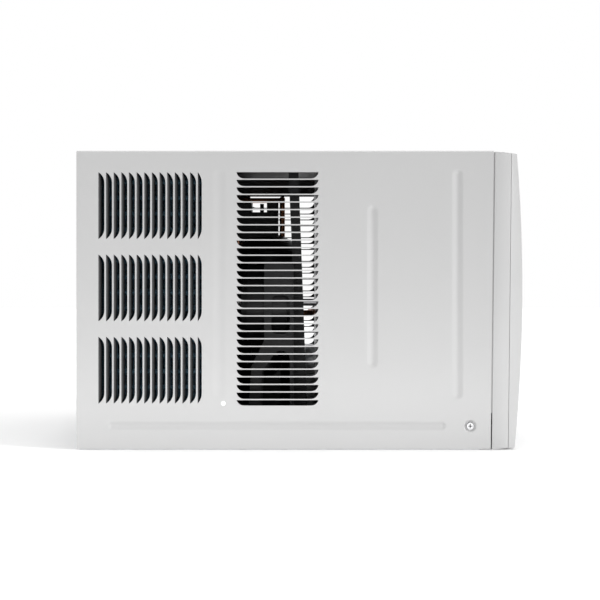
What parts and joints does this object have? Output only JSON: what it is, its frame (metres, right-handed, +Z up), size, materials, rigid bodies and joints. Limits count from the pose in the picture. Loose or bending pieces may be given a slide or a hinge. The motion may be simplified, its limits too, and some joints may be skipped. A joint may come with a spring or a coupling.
{
  "type": "window air conditioner",
  "caption": "Window air conditioner: louvred steel case, curved front panel with swinging air vanes, fascia buttons, slide-out filter, blower and fan on one shaft",
  "frame": {"origin": "on the sill plane, under the middle of the case's bounding box", "axes": "+Z up, -Y towards the room (front panel), +Y towards the outdoors (condenser), +X to the right for someone in the room facing the unit"},
  "size_m": [0.483, 0.549, 0.368],
  "materials": {
    "painted_steel": "light grey baked enamel",
    "bezel_plastic": "fine-grained light grey moulding",
    "panel_plastic": "fine-grained light grey moulding",
    "blade_plastic": "smooth light grey moulding",
    "fascia_plastic": "satin grey fascia",
    "button_plastic": "satin buttons",
    "display_plastic": "smoked gloss window",
    "circuit_board": "green board with parts",
    "screw_steel": "bright zinc plate",
    "galvanised_steel": "spangled zinc coat",
    "white_nylon": "white nylon",
    "black_plastic": "black moulding",
    "foam_white": "dense white foam moulding",
    "condenser_fin": "dark blue coated fins",
    "evaporator_fin": "bare aluminium fins",
    "copper": "drawn copper tube",
    "black_paint": "black stoving paint",
    "grey_paint": "dark grey paint",
    "rubber": "black rubber",
    "fan_plastic": "dark moulding",
    "shaft_steel": "ground steel",
    "capacitor_can": "drawn can",
    "filter_net": "woven nylon net"
  },
  "bodies": {
    "case": {"cabinet": "painted_steel", "base_pan": "galvanised_steel", "rear_grille": "painted_steel", "front_frame": "bezel_plastic", "front_panel": "panel_plastic", "control_fascia": "fascia_plastic", "display_window": "display_plastic", "control_board": "circuit_board", "case_screws": "screw_steel", "cord_gland": "black_plastic", "hole_plugs": "white_nylon", "bulkhead": "galvanised_steel", "scroll_housing": "foam_white", "outlet_duct": "foam_white", "evaporator_fins": "evaporator_fin", "evaporator_tubes": "copper", "drain_pan": "black_plastic", "fan_motor": "black_paint", "motor_bracket": "grey_paint", "fan_shroud": "black_plastic", "condenser_fins": "condenser_fin", "condenser_tubes": "copper", "coil_end_plates": "galvanised_steel", "compressor": "black_paint", "terminal_cover": "black_plastic", "accumulator": "black_paint", "compressor_feet": "rubber", "suction_line": "copper", "discharge_line": "copper", "capillary_tube": "copper", "electrical_box": "galvanised_steel", "run_capacitor": "capacitor_can"},
    "rotor": {"motor_shaft": "shaft_steel", "blower_wheel": "fan_plastic", "condenser_fan": "fan_plastic"},
    "filter": {"filter_frame": "black_plastic", "filter_mesh": "filter_net"},
    "louver_link": {"louver_link": "blade_plastic"},
    "left_vane_link": {"left_vane_link": "blade_plastic"},
    "right_vane_link": {"right_vane_link": "blade_plastic"},
    "vent_lever": {"vent_lever": "button_plastic"},
    "vent_damper": {"vent_damper": "black_plastic"},
    "louver_1": {"louver_1": "blade_plastic"},
    "left_vane_1": {"left_vane_1": "blade_plastic"},
    "right_vane_1": {"right_vane_1": "blade_plastic"},
    "louver_2": {"louver_2": "blade_plastic"},
    "left_vane_2": {"left_vane_2": "blade_plastic"},
    "right_vane_2": {"right_vane_2": "blade_plastic"},
    "louver_3": {"louver_3": "blade_plastic"},
    "left_vane_3": {"left_vane_3": "blade_plastic"},
    "right_vane_3": {"right_vane_3": "blade_plastic"},
    "louver_4": {"louver_4": "blade_plastic"},
    "left_vane_4": {"left_vane_4": "blade_plastic"},
    "right_vane_4": {"right_vane_4": "blade_plastic"},
    "button_power": {"button_power": "button_plastic"},
    "button_mode": {"button_mode": "button_plastic"},
    "button_fan": {"button_fan": "button_plastic"},
    "button_up": {"button_up": "button_plastic"},
    "button_down": {"button_down": "button_plastic"}
  },
  "joints": [
    {"name": "rotor_spin", "type": "hinge", "parent": "case", "child": "rotor", "pos_m": [0, 0, 0.178], "axis": [0, 1, 0], "continuous": true},
    {"name": "louver_1_tilt", "type": "hinge", "parent": "case", "child": "louver_1", "pos_m": [-0.073, -0.254, 0.282], "axis": [1, 0, 0], "range_deg": [-35, 35]},
    {"name": "louver_2_tilt", "type": "hinge", "parent": "case", "child": "louver_2", "pos_m": [-0.073, -0.254, 0.302], "axis": [1, 0, 0], "range_deg": [-35, 35]},
    {"name": "louver_3_tilt", "type": "hinge", "parent": "case", "child": "louver_3", "pos_m": [-0.073, -0.254, 0.322], "axis": [1, 0, 0], "range_deg": [-35, 35]},
    {"name": "louver_4_tilt", "type": "hinge", "parent": "case", "child": "louver_4", "pos_m": [-0.073, -0.254, 0.342], "axis": [1, 0, 0], "range_deg": [-35, 35]},
    {"name": "louver_link_pivot", "type": "hinge", "parent": "louver_1", "child": "louver_link", "pos_m": [-0.133, -0.244, 0.282], "axis": [1, 0, 0], "range_deg": [-35, 35]},
    {"name": "left_vane_1_turn", "type": "hinge", "parent": "case", "child": "left_vane_1", "pos_m": [-0.20338, -0.212, 0.312], "axis": [0, 0, 1], "range_deg": [-30, 30]},
    {"name": "left_vane_2_turn", "type": "hinge", "parent": "case", "child": "left_vane_2", "pos_m": [-0.16612, -0.212, 0.312], "axis": [0, 0, 1], "range_deg": [-30, 30]},
    {"name": "left_vane_3_turn", "type": "hinge", "parent": "case", "child": "left_vane_3", "pos_m": [-0.12887, -0.212, 0.312], "axis": [0, 0, 1], "range_deg": [-30, 30]},
    {"name": "left_vane_4_turn", "type": "hinge", "parent": "case", "child": "left_vane_4", "pos_m": [-0.09162, -0.212, 0.312], "axis": [0, 0, 1], "range_deg": [-30, 30]},
    {"name": "left_vane_link_pivot", "type": "hinge", "parent": "left_vane_1", "child": "left_vane_link", "pos_m": [-0.20338, -0.199, 0.282], "axis": [0, 0, 1], "range_deg": [-30, 30]},
    {"name": "right_vane_1_turn", "type": "hinge", "parent": "case", "child": "right_vane_1", "pos_m": [-0.05437, -0.212, 0.312], "axis": [0, 0, 1], "range_deg": [-30, 30]},
    {"name": "right_vane_2_turn", "type": "hinge", "parent": "case", "child": "right_vane_2", "pos_m": [-0.01713, -0.212, 0.312], "axis": [0, 0, 1], "range_deg": [-30, 30]},
    {"name": "right_vane_3_turn", "type": "hinge", "parent": "case", "child": "right_vane_3", "pos_m": [0.02013, -0.212, 0.312], "axis": [0, 0, 1], "range_deg": [-30, 30]},
    {"name": "right_vane_4_turn", "type": "hinge", "parent": "case", "child": "right_vane_4", "pos_m": [0.05738, -0.212, 0.312], "axis": [0, 0, 1], "range_deg": [-30, 30]},
    {"name": "right_vane_link_pivot", "type": "hinge", "parent": "right_vane_1", "child": "right_vane_link", "pos_m": [-0.05437, -0.199, 0.282], "axis": [0, 0, 1], "range_deg": [-30, 30]},
    {"name": "button_power_press", "type": "slide", "parent": "case", "child": "button_power", "axis": [0, 0.9985, -0.0552], "range_m": [0, 0.0012], "stiffness_N_per_m": 400, "springref_m": -0.0005},
    {"name": "button_mode_press", "type": "slide", "parent": "case", "child": "button_mode", "axis": [0, 0.9985, -0.0552], "range_m": [0, 0.0012], "stiffness_N_per_m": 400, "springref_m": -0.0005},
    {"name": "button_fan_press", "type": "slide", "parent": "case", "child": "button_fan", "axis": [0, 0.9985, -0.0552], "range_m": [0, 0.0012], "stiffness_N_per_m": 400, "springref_m": -0.0005},
    {"name": "button_up_press", "type": "slide", "parent": "case", "child": "button_up", "axis": [0, 0.9985, -0.0552], "range_m": [0, 0.0012], "stiffness_N_per_m": 400, "springref_m": -0.0005},
    {"name": "button_down_press", "type": "slide", "parent": "case", "child": "button_down", "axis": [0, 0.9985, -0.0552], "range_m": [0, 0.0012], "stiffness_N_per_m": 400, "springref_m": -0.0005},
    {"name": "filter_slide", "type": "slide", "parent": "case", "child": "filter", "axis": [1, 0, 0], "range_m": [0, 0.46]},
    {"name": "vent_lever_pull", "type": "slide", "parent": "case", "child": "vent_lever", "axis": [0, -1, 0], "range_m": [0, 0.014]},
    {"name": "vent_damper_swing", "type": "hinge", "parent": "case", "child": "vent_damper", "pos_m": [0.114, -0.03875, 0.353], "axis": [-1, 0, 0], "range_deg": [0, 36]}
  ],
  "couplings": [
    {"joint": "louver_2_tilt", "follows": "louver_1_tilt", "ratio": 1},
    {"joint": "louver_3_tilt", "follows": "louver_1_tilt", "ratio": 1},
    {"joint": "louver_4_tilt", "follows": "louver_1_tilt", "ratio": 1},
    {"joint": "louver_link_pivot", "follows": "louver_1_tilt", "ratio": -1},
    {"joint": "left_vane_2_turn", "follows": "left_vane_1_turn", "ratio": 1},
    {"joint": "left_vane_3_turn", "follows": "left_vane_1_turn", "ratio": 1},
    {"joint": "left_vane_4_turn", "follows": "left_vane_1_turn", "ratio": 1},
    {"joint": "left_vane_link_pivot", "follows": "left_vane_1_turn", "ratio": -1},
    {"joint": "right_vane_2_turn", "follows": "right_vane_1_turn", "ratio": 1},
    {"joint": "right_vane_3_turn", "follows": "right_vane_1_turn", "ratio": 1},
    {"joint": "right_vane_4_turn", "follows": "right_vane_1_turn", "ratio": 1},
    {"joint": "right_vane_link_pivot", "follows": "right_vane_1_turn", "ratio": -1},
    {"joint": "vent_damper_swing", "follows": "vent_lever_pull", "rad_per_m": 43.633}
  ]
}
